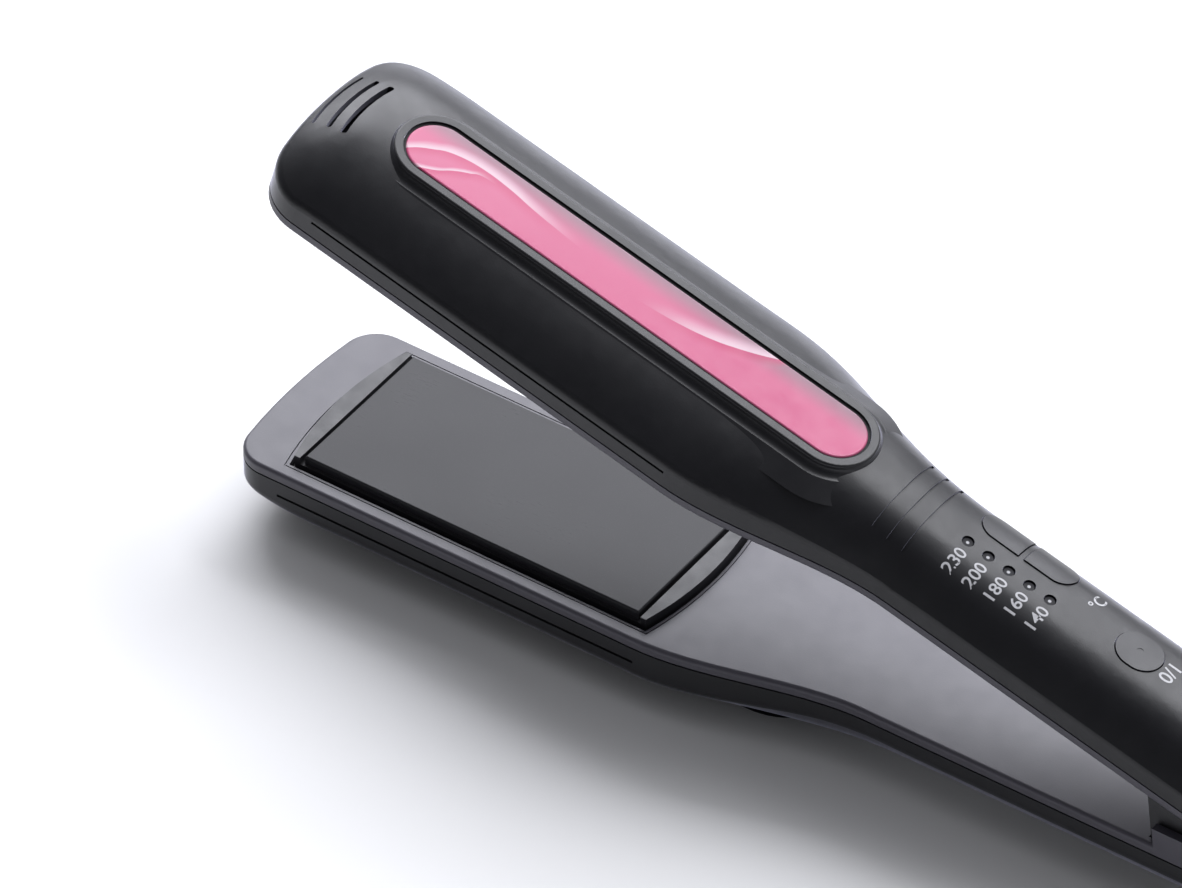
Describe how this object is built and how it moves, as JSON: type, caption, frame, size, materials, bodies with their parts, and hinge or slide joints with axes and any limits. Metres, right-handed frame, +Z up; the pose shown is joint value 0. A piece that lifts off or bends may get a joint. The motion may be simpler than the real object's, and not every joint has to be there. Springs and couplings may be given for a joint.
{
  "type": "flat iron",
  "caption": "Wide-plate hair straightener with two spring-opened hinged arms, floating heater plates, handle buttons and a swivel cord gland.",
  "frame": {"origin": "bottom centre of the bounding box, on the plane of the lower arm's inlay rim that the iron rests on", "axes": "+X runs along the arms from the tip to the hinge and cord gland, +Y across the plates, +Z up from the lower arm to the upper arm with the controls"},
  "size_m": [0.307, 0.0564, 0.1183],
  "materials": {
    "shell_black": "satin black moulded plastic with a very fine texture",
    "inner_black": "heat-resistant black nylon, satin",
    "inlay_pink": "high-gloss decorative panel with soft wave print",
    "seal_black": "black adhesive gasket",
    "plate_coating": "aluminium with a dark ceramic coating, satin",
    "carrier_black": "glass-filled high-temperature plastic",
    "element_ceramic": "alumina heating element",
    "spring_steel": "bright spring steel",
    "zinc_steel": "zinc-plated steel",
    "silicone_red": "silicone rubber",
    "wire_sleeve": "woven glass-fibre sleeve",
    "board_green": "printed circuit board with solder mask",
    "component_body": "moulded electronic component bodies",
    "switch_body": "moulded switch housings",
    "led_body": "surface-mounted diode bodies",
    "clear_plastic": "smoked clear light guide",
    "button_black": "satin black key caps",
    "bush_nylon": "natural nylon bush",
    "bracket_black": "glass-filled nylon hinge parts",
    "terminal_white": "terminal housing",
    "gland_rubber": "soft black cord gland"
  },
  "bodies": {
    "lower_arm": {"lower_outer_shell": "shell_black", "lower_inner_shell": "inner_black", "lower_inlay_panel": "inlay_pink", "lower_inlay_seal": "seal_black", "lower_float_cushions": "silicone_red", "lower_heater_leads": "wire_sleeve", "lower_shell_screws": "zinc_steel", "hinge_bracket": "bracket_black", "bracket_screws": "zinc_steel", "hinge_pin": "zinc_steel", "terminal_block": "terminal_white", "supply_leads": "wire_sleeve", "torsion_spring": "spring_steel"},
    "upper_arm": {"upper_outer_shell": "shell_black", "upper_inner_shell": "inner_black", "upper_inlay_panel": "inlay_pink", "upper_inlay_seal": "seal_black", "upper_float_cushions": "silicone_red", "upper_heater_leads": "wire_sleeve", "upper_shell_screws": "zinc_steel", "control_board": "board_green", "board_components": "component_body", "board_screws": "zinc_steel", "tact_switches": "switch_body", "indicator_leds": "led_body", "light_guide": "clear_plastic", "hinge_knuckle": "bracket_black", "hinge_bushes": "bush_nylon", "knuckle_screws": "zinc_steel"},
    "upper_plate": {"upper_plate_carrier": "carrier_black", "upper_heater_plate": "plate_coating", "upper_heating_element": "element_ceramic", "upper_element_clamp": "spring_steel", "temperature_sensor": "component_body"},
    "lower_plate": {"lower_plate_carrier": "carrier_black", "lower_heater_plate": "plate_coating", "lower_heating_element": "element_ceramic", "lower_element_clamp": "spring_steel", "thermal_fuse": "zinc_steel"},
    "temperature_up": {"temperature_up_button": "button_black"},
    "temperature_down": {"temperature_down_button": "button_black"},
    "power": {"power_button": "button_black", "power_lens": "clear_plastic"},
    "cord_swivel": {"swivel_gland": "gland_rubber", "swivel_clip": "zinc_steel"}
  },
  "joints": [
    {"name": "arm_hinge", "type": "hinge", "parent": "lower_arm", "child": "upper_arm", "pos_m": [0.1294, 0, 0.0243], "axis": [0, 1, 0], "range_deg": [-15.4, 0], "stiffness_Nm_per_rad": 1, "springref_deg": 22.92, "deforming": ["torsion_spring"]},
    {"name": "upper_plate_float", "type": "slide", "parent": "upper_arm", "child": "upper_plate", "axis": [0.2656, 0, 0.9641], "range_m": [0, 0.0012], "stiffness_N_per_m": 3000, "springref_m": -0.0012, "deforming": ["upper_float_cushions", "upper_heater_leads"]},
    {"name": "lower_plate_float", "type": "slide", "parent": "lower_arm", "child": "lower_plate", "axis": [0, 0, -1], "range_m": [0, 0.0012], "stiffness_N_per_m": 3000, "springref_m": -0.0012, "deforming": ["lower_float_cushions", "lower_heater_leads"]},
    {"name": "temperature_up_press", "type": "slide", "parent": "upper_arm", "child": "temperature_up", "axis": [-0.2656, 0, -0.9641], "range_m": [0, 0.0005], "stiffness_N_per_m": 1200, "springref_m": -0.0008},
    {"name": "temperature_down_press", "type": "slide", "parent": "upper_arm", "child": "temperature_down", "axis": [-0.2656, 0, -0.9641], "range_m": [0, 0.0005], "stiffness_N_per_m": 1200, "springref_m": -0.0008},
    {"name": "power_press", "type": "slide", "parent": "upper_arm", "child": "power", "axis": [-0.2656, 0, -0.9641], "range_m": [0, 0.0005], "stiffness_N_per_m": 1200, "springref_m": -0.0008},
    {"name": "cord_swivel_turn", "type": "hinge", "parent": "lower_arm", "child": "cord_swivel", "pos_m": [0.1435, 0, 0.0157], "axis": [1, 0, 0], "range_deg": [-170, 170], "deforming": ["supply_leads"]}
  ]
}
